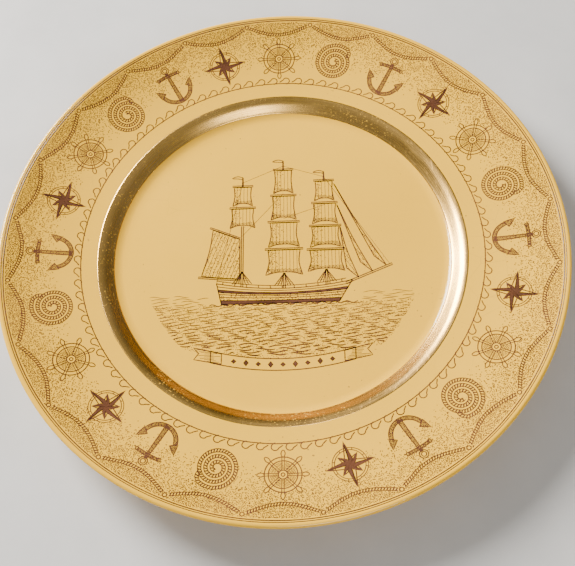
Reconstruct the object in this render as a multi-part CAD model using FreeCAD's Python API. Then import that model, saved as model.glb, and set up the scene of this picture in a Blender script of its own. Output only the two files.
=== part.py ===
import FreeCAD, Part
import math
import os

# A round souvenir plate in glazed earthenware. Millimetres, +Z up.
# The origin is the centre of the circle on which the foot ring stands.
# Every piece is turned about the plate's axis, so each one is drawn as a flat section
# in the half-plane of radius (X) and height (Z) and then revolved.

# Face of the plate, from the middle outwards.
PLATE_RADIUS = 132.5          # to the outside of the lip
WELL_RADIUS = 76.0            # flat floor of the well, under the picture
COVE_RADIUS = 8.0             # hollow curve from the well up into the cavetto
CAVETTO_SLOPE = 40.0          # degrees, steepest part of the cavetto
CAVETTO_STRAIGHT = 3.0        # length of that steepest part
SHOULDER_RADIUS = 8.0         # rounded turn from the cavetto out to the rim
RIM_SLOPE = 5.0               # degrees, where the rim leaves the shoulder
RIM_CURVE = 166.0             # radius of the rim's slow upward sweep
LIP_BEAD = 1.4                # radius of the rounded lip

# Clay body and foot.
WELL_THICKNESS = 4.7          # clay and glaze together, in the well
SHOULDER_THICKNESS = 4.2      # the same, where the rim starts
FOOT_DEPTH = 2.6              # hollow under the plate inside the foot ring
FOOT_INSET = 0.8              # foot ring's outer wall, inside the edge of the well floor
FOOT_WIDTH = 4.4
FOOT_WALL = 2.3               # height of the foot ring's outer wall
FOOT_ROUNDING = 1.0           # on the two standing edges
FOOT_COVE = 1.2               # where the foot ring's walls meet the back
BACK_RUN = 3.0                # level stretch of the back under the shoulder
BACK_ROUNDING = 12.0          # on the back, where the cavetto turns into the rim

# Layers on the body.
GLAZE_THICKNESS = 0.4
WIPED_HEIGHT = 0.9            # height to which the foot ring is wiped free of glaze
FILM_THICKNESS = 0.2          # gold and printed films, let in flush with the glaze
GOLD_START = 3.9              # gold band's inner edge, outside the well floor
GOLD_WIDTH = 7.6
PRINT_GAP = 4.5               # plain glaze between the gold band and the rim print
RIM_REPEATS = 6
BORDER_INSET = 3.05           # border line's outer edge, inside the plate's edge
BORDER_WIDTH = 0.55
LIP_LINE_INSET = 2.25         # lip line's outer edge, inside the plate's edge
LIP_LINE_WIDTH = 0.4
CENTRE_MARGIN = 4.0           # plain glaze between the picture and the edge of the well floor

# Sizes that follow from those.
WELL_HEIGHT = FOOT_DEPTH + WELL_THICKNESS
FOOT_OUTER = WELL_RADIUS - FOOT_INSET
FOOT_INNER = FOOT_OUTER - FOOT_WIDTH
GOLD_INNER = WELL_RADIUS + GOLD_START
GOLD_OUTER = GOLD_INNER + GOLD_WIDTH
BORDER_OUTER = PLATE_RADIUS - BORDER_INSET
BORDER_INNER = BORDER_OUTER - BORDER_WIDTH
LIP_LINE_OUTER = PLATE_RADIUS - LIP_LINE_INSET
LIP_LINE_INNER = LIP_LINE_OUTER - LIP_LINE_WIDTH
PRINT_INNER = GOLD_OUTER + PRINT_GAP
CENTRE_RADIUS = WELL_RADIUS - CENTRE_MARGIN
OVERRUN = 4 * GLAZE_THICKNESS  # sections are drawn this far past the axis, then trimmed to it
MARGIN = PLATE_RADIUS / 4      # how far trimming rectangles reach past the plate


def point(radius, height):
    return FreeCAD.Vector(radius, 0, height)


def along(slope):
    """Unit step outwards along a surface with this slope in degrees."""
    return point(math.cos(math.radians(slope)), math.sin(math.radians(slope)))


def above(slope):
    """Unit step at right angles to that surface, upwards."""
    return point(-math.sin(math.radians(slope)), math.cos(math.radians(slope)))


def line(start, end):
    return Part.LineSegment(start, end).toShape()


def arc(centre, radius, start_step, end_step):
    """The short arc between two unit steps from its centre."""
    middle_step = start_step + end_step
    middle_step.normalize()
    ends = [centre + step * radius for step in (start_step, middle_step, end_step)]
    return Part.Arc(*ends).toShape()


def rounded_run(corners):
    """Straight runs through (point, rounding) corners, with an arc at each rounded one."""
    edges = []
    start = corners[0][0]
    for (before, _), (corner, rounding), (after, _) in zip(corners, corners[1:], corners[2:]):
        inward = (before - corner).normalize()
        outward = (after - corner).normalize()
        half_angle = inward.getAngle(outward) / 2
        reach = rounding / math.tan(half_angle)
        middle = (inward + outward).normalize() * (rounding / math.sin(half_angle) - rounding)
        edges.append(line(start, corner + inward * reach))
        edges.append(Part.Arc(corner + inward * reach, corner + middle, corner + outward * reach).toShape())
        start = corner + outward * reach
    edges.append(line(start, corners[-1][0]))
    return edges


def plate_section():
    """Section of the whole plate, glaze included, drawn a little past the axis."""
    well_edge = point(WELL_RADIUS, WELL_HEIGHT)
    cove_centre = well_edge + above(0) * COVE_RADIUS
    wall_start = cove_centre - above(CAVETTO_SLOPE) * COVE_RADIUS
    wall_end = wall_start + along(CAVETTO_SLOPE) * CAVETTO_STRAIGHT
    shoulder_centre = wall_end - above(CAVETTO_SLOPE) * SHOULDER_RADIUS
    shoulder_end = shoulder_centre + above(RIM_SLOPE) * SHOULDER_RADIUS
    rim_centre = shoulder_end + above(RIM_SLOPE) * RIM_CURVE

    lip_reach = PLATE_RADIUS - LIP_BEAD - rim_centre.x
    lip_slope = math.degrees(math.asin(lip_reach / (RIM_CURVE + LIP_BEAD)))
    lip_centre = rim_centre - above(lip_slope) * (RIM_CURVE + LIP_BEAD)
    lip_bottom = lip_centre - above(lip_slope) * LIP_BEAD

    back_start = shoulder_end - above(RIM_SLOPE) * SHOULDER_THICKNESS
    back_middle_slope = (RIM_SLOPE + lip_slope) / 2
    back_middle_thickness = (SHOULDER_THICKNESS + 2 * LIP_BEAD) / 2
    back_middle = rim_centre - above(back_middle_slope) * (RIM_CURVE + back_middle_thickness)

    face = [
        line(point(-OVERRUN, WELL_HEIGHT), well_edge),
        arc(cove_centre, COVE_RADIUS, -above(0), -above(CAVETTO_SLOPE)),
        line(wall_start, wall_end),
        arc(shoulder_centre, SHOULDER_RADIUS, above(CAVETTO_SLOPE), above(RIM_SLOPE)),
        arc(rim_centre, RIM_CURVE, -above(RIM_SLOPE), -above(lip_slope)),
    ]
    lip = [
        arc(lip_centre, LIP_BEAD, above(lip_slope), along(lip_slope)),
        arc(lip_centre, LIP_BEAD, along(lip_slope), -above(lip_slope)),
    ]
    back = [Part.Arc(lip_bottom, back_middle, back_start).toShape()]
    foot = rounded_run([
        (back_start, 0),
        (back_start - along(RIM_SLOPE) * BACK_RUN, BACK_ROUNDING),
        (point(FOOT_OUTER, FOOT_WALL), FOOT_COVE),
        (point(FOOT_OUTER, 0), FOOT_ROUNDING),
        (point(FOOT_INNER, 0), FOOT_ROUNDING),
        (point(FOOT_INNER, FOOT_DEPTH), FOOT_COVE),
        (point(-OVERRUN, FOOT_DEPTH), 0),
    ])
    axis_side = [line(point(-OVERRUN, FOOT_DEPTH), point(-OVERRUN, WELL_HEIGHT))]
    return Part.Face(Part.Wire(face + lip + back + foot + axis_side))


def ring_zone(inner, outer, low=-MARGIN, high=MARGIN + WELL_HEIGHT):
    """Rectangle of the half-plane between two radii and two heights."""
    corners = [point(inner, low), point(outer, low), point(outer, high), point(inner, high)]
    return Part.Face(Part.makePolygon(corners + corners[:1]))


def film_section(section, inner, outer):
    """Section of a film let into the face between two radii."""
    skin = section.cut(section.makeOffset2D(-FILM_THICKNESS))
    layers = skin.common(ring_zone(inner, outer)).Faces
    return max(layers, key=lambda layer: layer.CenterOfMass.z)


def turned(section, start=0.0, sweep=360.0):
    """Solid swept by a section about the plate's axis, from a start angle in degrees."""
    solid = section.revolve(FreeCAD.Vector(0, 0, 0), FreeCAD.Vector(0, 0, 1), sweep)
    solid.rotate(FreeCAD.Vector(0, 0, 0), FreeCAD.Vector(0, 0, 1), start)
    return solid


def glaze_section(section):
    """The glaze all round the plate, but for the standing part of the foot ring, which is wiped."""
    coat = section.cut(section.makeOffset2D(-GLAZE_THICKNESS))
    right_of_axis = ring_zone(0, PLATE_RADIUS + MARGIN)
    wiped = ring_zone(0, FOOT_OUTER + MARGIN, high=WIPED_HEIGHT)
    return coat.common(right_of_axis).cut(wiped)


def plate_pieces():
    """Every piece of the plate, by name."""
    section = plate_section()
    coats = glaze_section(section)
    clay = section.common(ring_zone(0, PLATE_RADIUS + MARGIN)).cut(coats)
    rings = {
        "centre_transfer": film_section(section, 0, CENTRE_RADIUS),
        "gold_band": film_section(section, GOLD_INNER, GOLD_OUTER),
        "border_line": film_section(section, BORDER_INNER, BORDER_OUTER),
        "lip_line": film_section(section, LIP_LINE_INNER, LIP_LINE_OUTER),
    }
    rim_print = film_section(section, PRINT_INNER, BORDER_INNER)
    for film in [*rings.values(), rim_print]:
        coats = coats.cut(film)
    foot_coat, face_coat = sorted(coats.Faces, key=lambda coat: coat.Area)

    pieces = {name: turned(ring) for name, ring in rings.items()}
    pieces["plate_body"] = turned(clay.Faces[0])
    pieces["face_glaze"] = turned(face_coat)
    pieces["foot_glaze"] = turned(foot_coat)
    sweep = 360.0 / RIM_REPEATS
    for repeat in range(RIM_REPEATS):
        start = 90.0 + sweep / 2 - (repeat + 1) * sweep
        pieces[f"rim_transfer_{repeat + 1}"] = turned(rim_print, start, sweep)
    return pieces


def main():
    os.makedirs("parts", exist_ok=True)
    for name, shape in plate_pieces().items():
        print(f"{name}: {len(shape.Solids)} solid, {shape.Volume / 1000:.3f} cm3, valid {shape.isValid()}")
        shape.exportStep(f"parts/{name}.step")


main()
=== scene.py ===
import math

import bmesh
import bpy
import numpy as np
from bpy.props import FloatProperty, FloatVectorProperty, IntProperty, PointerProperty
from mathutils import Matrix, Vector


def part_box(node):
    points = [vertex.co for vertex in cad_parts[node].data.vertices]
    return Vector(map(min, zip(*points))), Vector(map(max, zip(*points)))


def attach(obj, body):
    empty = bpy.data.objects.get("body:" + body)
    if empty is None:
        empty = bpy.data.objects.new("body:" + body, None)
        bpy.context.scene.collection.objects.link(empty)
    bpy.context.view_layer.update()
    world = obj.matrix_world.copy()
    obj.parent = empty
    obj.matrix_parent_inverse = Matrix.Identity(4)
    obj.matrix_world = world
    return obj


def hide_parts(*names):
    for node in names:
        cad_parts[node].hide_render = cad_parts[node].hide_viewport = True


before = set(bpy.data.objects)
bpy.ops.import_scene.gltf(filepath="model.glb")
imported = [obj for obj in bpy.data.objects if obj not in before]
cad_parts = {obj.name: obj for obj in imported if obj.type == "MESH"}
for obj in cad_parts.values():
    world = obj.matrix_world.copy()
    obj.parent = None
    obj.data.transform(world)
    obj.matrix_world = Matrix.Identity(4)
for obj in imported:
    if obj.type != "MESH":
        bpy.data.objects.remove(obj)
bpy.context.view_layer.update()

bl_info = {
    "name": "Souvenir plate",
    "version": (1, 0, 0),
    "blender": (4, 5, 0),
    "location": "View3D > Sidebar > Plate",
    "description": "Glazed plate with a gold band, a nautical rim print and a sailing ship in the well",
    "category": "Object",
}

MM = 0.001                      # the drawing and the sections are in millimetres
SAME_PLACE = 0.001              # points of a drawing closer than this are one point
SHORTEST_STROKE = 0.08
BACK_RUN = 3.0                  # straight stretch of the back under the shoulder
BACK_ROUNDINGS = (12.0, 1.2, 1.0, 1.0, 1.2)     # corners of the back, from the rim inwards
FILL_PITCH = 0.4                # strokes of a solid patch, a little wider than their pitch
FILL_WIDTH = 0.43
WELL_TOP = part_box("centre_transfer")[1][2]


# ---------------------------------------------------------------- sizes and finishes

def length(name, note, value):
    """A length that is set in the panel."""
    return FloatProperty(name=name, description=note, default=value, unit="LENGTH")


def colour_choice(name, note, value):
    """A colour that is set in the panel."""
    return FloatVectorProperty(name=name, description=note, size=4, subtype="COLOR", default=value,
                               min=0, max=1)


class PlateShape(bpy.types.PropertyGroup):
    """Sizes of the plate's section."""
    plate_radius: length("Plate radius", "Out to the lip", 132.5 * MM)
    well_height: length("Well height", "Well floor above the table", WELL_TOP)
    well_radius: length("Well radius", "Flat floor of the well", 76 * MM)
    cove_radius: length("Cove radius", "Hollow curve at the foot of the cavetto", 8 * MM)
    cavetto_slope: FloatProperty(name="Cavetto slope", description="Steepest slope of the cavetto",
                                 default=math.radians(40), subtype="ANGLE")
    cavetto_straight: length("Cavetto straight", "Length of the steepest part", 3 * MM)
    shoulder_radius: length("Shoulder radius", "Turn from the cavetto to the rim", 8 * MM)
    rim_slope: FloatProperty(name="Rim slope", description="Slope of the rim where it leaves the shoulder",
                             default=math.radians(5), subtype="ANGLE")
    rim_curve: length("Rim curve", "Radius of the rim's upward sweep", 166 * MM)
    lip_bead: length("Lip bead", "Radius of the rounded lip", 1.4 * MM)
    shoulder_thickness: length("Shoulder thickness", "Wall where the rim starts", 4.2 * MM)
    foot_depth: length("Foot depth", "Hollow inside the foot ring", 2.6 * MM)
    foot_outer: length("Foot radius", "Outer wall of the foot ring", 75.2 * MM)
    foot_width: length("Foot width", "Width of the foot ring", 4.4 * MM)
    foot_wall: length("Foot wall", "Height of the foot ring's outer wall", 2.3 * MM)
    glaze_thickness: length("Glaze thickness", "Coat of glaze on the clay", 0.4 * MM)
    wiped_height: length("Wiped height", "Bare height of the foot ring", 0.9 * MM)
    turning_steps: IntProperty(name="Turning steps", description="Facets round the plate",
                               default=360, min=96)


class PrintStyle(bpy.types.PropertyGroup):
    """How the ink is drawn."""
    outline: length("Outline", "Width of a motif's outline", 0.50 * MM)
    fine: length("Fine line", "Width of inner lines and rigging", 0.37 * MM)
    dot: length("Dot", "Diameter of a stipple dot", 0.46 * MM)
    dot_gap: length("Dot gap", "Closest spacing of stipple dots", 0.60 * MM)
    lift: length("Ink lift", "Ink surface above the glaze", 0.025 * MM)
    sink: length("Ink depth", "Underside of the ink below the glaze surface", 0.03 * MM)
    repeats: IntProperty(name="Rim repeats", description="Repeats of the rim print", default=6)
    seed: IntProperty(name="Seed", description="Seed of the stippling", default=7)


class PlateFinish(bpy.types.PropertyGroup):
    """Colours of the plate."""
    glaze: colour_choice("Glaze", "Warm cream glaze", (0.88, 0.485, 0.018, 1))
    ink: colour_choice("Ink", "Sepia of the print", (0.095, 0.036, 0.014, 1))
    gold: colour_choice("Gold", "Burnished gold", (0.90, 0.54, 0.15, 1))
    clay: colour_choice("Clay", "Bare biscuit clay", (0.80, 0.72, 0.58, 1))


# ---------------------------------------------------------------- the section

def shape():
    return bpy.context.scene.plate_shape


def style():
    return bpy.context.scene.plate_print


def finish():
    return bpy.context.scene.plate_finish


def along(angle):
    return Vector((math.cos(angle), math.sin(angle)))


def above(angle):
    return Vector((-math.sin(angle), math.cos(angle)))


def arc_points(centre, radius, start, sweep, step=0.6):
    """Points round an arc in millimetres; angles in radians."""
    count = max(3, math.ceil(abs(sweep) * radius / step))
    return [centre + along(start + sweep * i / count) * radius for i in range(count + 1)]


def rounded_corner(before, corner, after, radius, step=0.25):
    """Arc that rounds one corner of a run of straight lines."""
    inward = (before - corner).normalized()
    outward = (after - corner).normalized()
    half = inward.angle(outward) / 2
    centre = corner + (inward + outward).normalized() * (radius / math.sin(half))
    start = corner + inward * (radius / math.tan(half)) - centre
    end = corner + outward * (radius / math.tan(half)) - centre
    first = math.atan2(start.y, start.x)
    sweep = (math.atan2(end.y, end.x) - first + math.pi) % (2 * math.pi) - math.pi
    return arc_points(centre, radius, first, sweep, step)


class Section:
    """The plate's section in millimetres of radius and height."""

    def __init__(self):
        s = shape()
        self.well = Vector((s.well_radius, s.well_height)) / MM
        self.cove = s.cove_radius / MM
        self.slope = s.cavetto_slope
        self.shoulder = s.shoulder_radius / MM
        self.rim_slope = s.rim_slope
        self.sweep = s.rim_curve / MM
        self.bead = s.lip_bead / MM
        self.edge = s.plate_radius / MM
        self.cove_centre = self.well + above(0) * self.cove
        self.wall_start = self.cove_centre - above(self.slope) * self.cove
        self.wall_end = self.wall_start + along(self.slope) * (s.cavetto_straight / MM)
        self.shoulder_centre = self.wall_end - above(self.slope) * self.shoulder
        self.shoulder_end = self.shoulder_centre + above(self.rim_slope) * self.shoulder
        self.rim_centre = self.shoulder_end + above(self.rim_slope) * self.sweep
        reach = self.edge - self.bead - self.rim_centre.x
        self.lip_slope = math.asin(reach / (self.sweep + self.bead))
        self.lip_centre = self.rim_centre - above(self.lip_slope) * (self.sweep + self.bead)

    def height(self, radius):
        """Height of the face at an array of radii."""
        r = np.asarray(radius, float)

        def hollow(centre, size):
            return centre.y - np.sqrt(np.maximum(size ** 2 - (r - centre.x) ** 2, 0))

        def crown(centre, size):
            return centre.y + np.sqrt(np.maximum(size ** 2 - (r - centre.x) ** 2, 0))

        wall = self.wall_start.y + (r - self.wall_start.x) * math.tan(self.slope)
        runs = [r <= self.well.x, r <= self.wall_start.x, r <= self.wall_end.x, r <= self.shoulder_end.x]
        heights = [np.full(r.shape, self.well.y), hollow(self.cove_centre, self.cove), wall,
                   crown(self.shoulder_centre, self.shoulder)]
        return np.select(runs, heights, hollow(self.rim_centre, self.sweep))

    def face(self):
        """The face from the middle of the well to the lip's outer edge."""
        quarter = math.pi / 2
        flat = [Vector((self.well.x * i / 8, self.well.y)) for i in range(8)]
        cove = arc_points(self.cove_centre, self.cove, -quarter, self.slope)
        turn = arc_points(self.shoulder_centre, self.shoulder, quarter + self.slope,
                          self.rim_slope - self.slope)
        rim = arc_points(self.rim_centre, self.sweep, -quarter + self.rim_slope,
                         self.lip_slope - self.rim_slope, 1.5)
        lip = arc_points(self.lip_centre, self.bead, quarter + self.lip_slope, -math.pi, 0.3)
        return flat + cove + turn + rim[1:-1] + lip

    def back(self):
        """The underside from the lip to the axis, by way of the foot ring."""
        s = shape()
        start = self.shoulder_end - above(self.rim_slope) * (s.shoulder_thickness / MM)
        bottom = self.lip_centre - above(self.lip_slope) * self.bead
        middle_slope = (self.rim_slope + self.lip_slope) / 2
        depth = (s.shoulder_thickness / MM + 2 * self.bead) / 2
        middle = self.rim_centre - above(middle_slope) * (self.sweep + depth)
        under_rim = [bottom.lerp(start, t) + (middle - bottom.lerp(start, 0.5)) * 4 * t * (1 - t)
                     for t in (i / 28 for i in range(1, 28))]
        outer = s.foot_outer / MM
        inner = outer - s.foot_width / MM
        hollow = s.foot_depth / MM
        corners = [start, start - along(self.rim_slope) * BACK_RUN, Vector((outer, s.foot_wall / MM)),
                   Vector((outer, 0)), Vector((inner, 0)), Vector((inner, hollow)), Vector((0, hollow))]
        run = [start]
        for i, rounding in enumerate(BACK_ROUNDINGS, 1):
            run += rounded_corner(corners[i - 1], corners[i], corners[i + 1], rounding)
        run += [Vector((inner * i / 6, hollow)) for i in range(5, -1, -1)]
        return under_rim + run


def offset_inward(points, depth):
    """A run of section points moved into the clay, to the right of the direction of travel."""
    moved = []
    for i, here in enumerate(points):
        step = points[min(i + 1, len(points) - 1)] - points[max(i - 1, 0)]
        step.normalize()
        moved.append(here + Vector((step.y, -step.x)) * depth)
    moved[0].x = max(moved[0].x, 0) if points[0].x > 0 else 0
    moved[-1].x = max(moved[-1].x, 0) if points[-1].x > 0 else 0
    return moved


def turned(name, loop):
    """Solid of revolution of a closed loop of section points, in millimetres."""
    steps = shape().turning_steps
    mesh = bmesh.new()
    rings = []
    for point in loop:
        if point.x < 1e-6:
            rings.append([mesh.verts.new((0, 0, point.y * MM))] * steps)
            continue
        turns = (2 * math.pi * k / steps for k in range(steps))
        rings.append([mesh.verts.new((point.x * MM * math.cos(t), point.x * MM * math.sin(t), point.y * MM))
                      for t in turns])
    for inner, outer in zip(rings, rings[1:] + rings[:1]):
        for k in range(steps):
            n = (k + 1) % steps
            corners = [inner[k], inner[n], outer[n], outer[k]]
            unique = list(dict.fromkeys(corners))
            if len(unique) > 2:
                mesh.faces.new(unique)
    bmesh.ops.recalc_face_normals(mesh, faces=mesh.faces)
    return piece_from(name, mesh)


def piece_from(name, mesh, smooth=True):
    """A scene object at the origin made from a bmesh."""
    data = bpy.data.meshes.new(name)
    mesh.to_mesh(data)
    mesh.free()
    data.polygons.foreach_set("use_smooth", [smooth] * len(data.polygons))
    piece = bpy.data.objects.new(name, data)
    bpy.context.scene.collection.objects.link(piece)
    return piece


def settle(piece, material, slot, *nodes):
    """Gives a piece its material, hangs it on the root body and hides the CAD nodes that it stands in for.
    """
    piece.data.materials.clear()
    piece.data.materials.append(material)
    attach(piece, "root")
    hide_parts(*nodes)
    return piece


# ---------------------------------------------------------------- drawing in ink

def plan(points):
    return np.array(points, float).reshape(-1, 2)


def rim(*points):
    """Places on the rim: degrees clockwise from the wheel, and radius."""
    p = plan(points)
    turn = np.radians(p[:, 0])
    return np.stack([p[:, 1] * np.sin(turn), p[:, 1] * np.cos(turn)], axis=1)


def near(angle, radius, *points):
    """Places in millimetres round a spot on the rim, sideways and outwards."""
    turn = math.radians(angle)
    side = np.array([math.cos(turn), -math.sin(turn)])
    out = np.array([math.sin(turn), math.cos(turn)])
    p = plan(points)
    return out * radius + p[:, :1] * side + p[:, 1:] * out


def spread(start, end, count):
    return [start + (end - start) * i / (count - 1) for i in range(count)]


def smooth(points, closed=False, step=0.9):
    """A soft curve through the points."""
    p = plan(points)
    if len(p) < 3:
        return p
    if closed:
        p = np.vstack([p[-1:], p, p[:2]])
    else:
        p = np.vstack([2 * p[:1] - p[1:2], p, 2 * p[-1:] - p[-2:-1]])
    run = []
    for a, b, c, d in zip(p, p[1:], p[2:], p[3:]):
        count = max(1, math.ceil(np.linalg.norm(c - b) / step))
        for i in range(count):
            t = i / count
            run.append(0.5 * (2 * b + (c - a) * t + (2 * a - 5 * b + 4 * c - d) * t ** 2
                              + (3 * b - a - 3 * c + d) * t ** 3))
    if not closed:
        run.append(p[-2])
    return np.array(run)


def straight(points, step=2.0, closed=False):
    """The same corners with long runs divided so that they follow the glaze."""
    p = plan(points)
    if closed:
        p = np.vstack([p, p[:1]])
    run = []
    for a, b in zip(p, p[1:]):
        count = max(1, math.ceil(np.linalg.norm(b - a) / step))
        run += [a + (b - a) * i / count for i in range(count)]
    if not closed:
        run.append(p[-1])
    return np.array(run)


def distinct(points, closed=False):
    """The points without any that repeat the one before."""
    p = plan(points)
    p = p[np.append(True, np.linalg.norm(np.diff(p, axis=0), axis=1) > SAME_PLACE)]
    if closed and len(p) > 2 and np.linalg.norm(p[0] - p[-1]) < SAME_PLACE:
        p = p[:-1]
    return p


def round_line(centre, radius, start=0, sweep=360, step=0.7):
    """Points round a circle; degrees clockwise from outwards, for use with near."""
    count = max(8, math.ceil(abs(math.radians(sweep)) * radius / step))
    last = count if abs(sweep) >= 360 else count + 1
    turns = [math.radians(start + sweep * i / count) for i in range(last)]
    return [(centre[0] + radius * math.sin(t), centre[1] + radius * math.cos(t)) for t in turns]


def strip(points, width):
    """Outline of a band laid along a run of points."""
    p = plan(points)
    along_run = np.gradient(p, axis=0)
    along_run /= np.maximum(np.linalg.norm(along_run, axis=1, keepdims=True), 1e-9)
    side = np.stack([-along_run[:, 1], along_run[:, 0]], axis=1) * width / 2
    return np.vstack([p + side, (p - side)[::-1]])


def inside(points, outline):
    """Which points lie inside an outline."""
    x, y = points[:, 0], points[:, 1]
    within = np.zeros(len(points), bool)
    for (x0, y0), (x1, y1) in zip(outline, np.roll(outline, -1, axis=0)):
        if y0 == y1:
            continue
        crosses = (y0 > y) != (y1 > y)
        within ^= crosses & (x < (x1 - x0) * (y - y0) / (y1 - y0) + x0)
    return within


def crossings(outline, level):
    """Pairs of crossings of an outline with a level line."""
    hits = []
    for (x0, y0), (x1, y1) in zip(outline, np.roll(outline, -1, axis=0)):
        if (y0 > level) != (y1 > level):
            hits.append(x0 + (x1 - x0) * (level - y0) / (y1 - y0))
    hits.sort()
    return list(zip(hits[::2], hits[1::2]))


class Ink:
    """Inked lines, fills and dots of one print, in plan millimetres on the glaze."""

    def __init__(self, seed):
        s = style()
        self.section = Section()
        self.outline = s.outline / MM
        self.fine = s.fine / MM
        self.dot = s.dot / MM
        self.gap = s.dot_gap / MM
        self.lift = s.lift / MM
        self.sink = s.sink / MM
        self.random = np.random.default_rng(seed)
        self.places = []
        self.heights = []
        self.faces = []
        self.count = 0
        self.kept_clear = []
        self.dots = []
        self.dot_sizes = []

    def line(self, points, width=None, closed=False, taper=False):
        """A pen line. With taper it thins out at both ends."""
        p = distinct(points, closed)
        if len(p) < 2:
            return
        n = len(p)
        if closed:
            ahead, behind = np.roll(p, -1, axis=0), np.roll(p, 1, axis=0)
        else:
            ahead, behind = np.vstack([p[1:], p[-1:]]), np.vstack([p[:1], p[:-1]])
        travel = ahead - behind
        travel /= np.maximum(np.linalg.norm(travel, axis=1, keepdims=True), 1e-9)
        half = np.full(n, (width or self.outline) / 2)
        if taper:
            half *= np.minimum(1, 0.25 + 1.6 * np.sin(np.linspace(0, math.pi, n)))
        side = np.stack([-travel[:, 1], travel[:, 0]], axis=1) * half[:, None]
        first = self.count
        self.places.append(np.stack([p + side, p - side, p], axis=1).reshape(-1, 2))
        self.heights.append(np.tile([self.lift, self.lift, -self.sink], n))
        self.count += 3 * n
        for i in range(n if closed else n - 1):
            a = first + 3 * i
            b = first + 3 * ((i + 1) % n)
            self.faces += [(a, a + 1, b + 1, b), (a, b, b + 2, a + 2), (a + 1, a + 2, b + 2, b + 1)]
        if not closed:
            b = first + 3 * (n - 1)
            self.faces += [(first, first + 2, first + 1), (b + 1, b + 2, b)]

    def curve(self, points, width=None, closed=False, taper=False):
        self.line(smooth(points, closed), width, closed, taper)

    def edge(self, points, width=None, closed=False):
        self.line(straight(points, closed=closed), width, closed)

    def hatch(self, outline, angle, pitch, width, shorten=0.0):
        """Parallel strokes inside an outline, at an angle in degrees."""
        turn = math.radians(angle)
        spin = np.array([[math.cos(turn), -math.sin(turn)], [math.sin(turn), math.cos(turn)]])
        turned_outline = plan(outline) @ spin
        level = turned_outline[:, 1].min() + pitch / 2
        while level < turned_outline[:, 1].max():
            for low, high in crossings(turned_outline, level):
                if shorten:
                    low, high = (low + shorten * self.random.random() * (high - low),
                                 high - shorten * self.random.random() * (high - low))
                if high - low > SHORTEST_STROKE:
                    # This draw isn't used. It keeps the dots that come later in their places.
                    self.random.random()
                    ends = np.array([(low, level), (high, level)]) @ spin.T
                    self.line(straight(ends), width)
            level += pitch

    def fill(self, outline):
        """A solid patch of ink with its outline."""
        self.hatch(outline, 0.0, FILL_PITCH, FILL_WIDTH)
        self.edge(outline, self.fine, closed=True)

    def shade(self, outline):
        """A brown mottled patch: close fine strokes with dots among them, and its outline."""
        self.hatch(outline, 31, 0.42, 0.26)
        self.stipple(outline, 0.5, gap=0.6, size=0.5, keep_clear=False)
        self.edge(outline, closed=True)

    def clear(self, *outlines):
        """Keeps the background stipple out of an outline."""
        self.kept_clear += [plan(outline) for outline in outlines]

    def stipple(self, outline, density, gap=None, size=None, keep_clear=True):
        """Even random dots in an outline. Density is a number, or a function of the points."""
        outline = plan(outline)
        gap = gap or self.gap
        low, high = outline.min(axis=0), outline.max(axis=0)
        rows = np.arange(low[1], high[1], gap * 0.87)
        columns = np.arange(low[0], high[0], gap)
        grid_x, grid_y = np.meshgrid(columns, rows)
        grid_x += np.where(np.arange(len(rows)) % 2, gap / 2, 0)[:, None]
        p = np.stack([grid_x.ravel(), grid_y.ravel()], axis=1)
        p += (self.random.random(p.shape) - 0.5) * gap * 0.75
        keep = inside(p, outline)
        for kept in self.kept_clear if keep_clear else ():
            keep[keep] = ~inside(p[keep], kept)
        p = p[keep]
        chance = density(p) if callable(density) else np.full(len(p), density)
        p = p[self.random.random(len(p)) < chance]
        self.dots.append(p)
        self.dot_sizes.append((size or self.dot) / 2 * (0.8 + 0.4 * self.random.random(len(p))))

    def twist(self, points, width=1.3, pitch=1.25):
        """A laid rope: two edges with slanting strands between them."""
        p = smooth(points, step=0.45)
        steps = np.linalg.norm(np.diff(p, axis=0), axis=1)
        travelled = np.concatenate([[0], np.cumsum(steps)])
        direction = np.gradient(p, axis=0)
        direction /= np.linalg.norm(direction, axis=1, keepdims=True)
        side = np.stack([-direction[:, 1], direction[:, 0]], axis=1) * width / 2
        self.clear(strip(p, width + 0.2))
        self.line(p + side, self.fine)
        self.line(p - side, self.fine)

        def at(distance):
            return [np.array([np.interp(distance, travelled, values[:, k]) for k in (0, 1)])
                    for values in (p, direction, side)]

        for k in range(int(travelled[-1] / pitch)):
            middle, ahead, across = at((k + 0.5) * pitch)
            lean = ahead * pitch * 0.55
            strand = [middle - across - lean, middle - across * 0.4 - lean * 0.1,
                      middle + across * 0.4 + lean * 0.1, middle + across + lean]
            self.line(strand, self.fine * 1.7, taper=True)

    def piece(self, name, material):
        """The print as one closed mesh object, with its dots made by Geometry Nodes."""
        dots = np.vstack(self.dots) if self.dots else np.zeros((0, 2))
        sizes = np.concatenate(self.dot_sizes) if self.dots else np.zeros(0)
        places = np.vstack(self.places + [dots])
        radii = np.linalg.norm(places, axis=1)
        heights = self.section.height(radii) + np.concatenate(self.heights + [np.zeros(len(dots))])
        tilt = (self.section.height(radii + 0.05) - self.section.height(radii - 0.05)) / 0.1
        towards = -places * (tilt / np.maximum(radii, 1e-6))[:, None]
        normals = np.stack([towards[:, 0], towards[:, 1], np.ones(len(places))], axis=1)
        data = bpy.data.meshes.new(name)
        data.from_pydata((np.column_stack([places, heights]) * MM).tolist(), [], self.faces)
        sized = np.concatenate([np.zeros(self.count), sizes * MM])
        data.attributes.new("dot_size", "FLOAT", "POINT").data.foreach_set("value", sized)
        data.attributes.new("dot_up", "FLOAT_VECTOR", "POINT").data.foreach_set("vector", normals.ravel())
        piece = bpy.data.objects.new(name, data)
        bpy.context.scene.collection.objects.link(piece)
        return dotted(piece, material, self.lift * MM, self.sink * MM)


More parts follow.
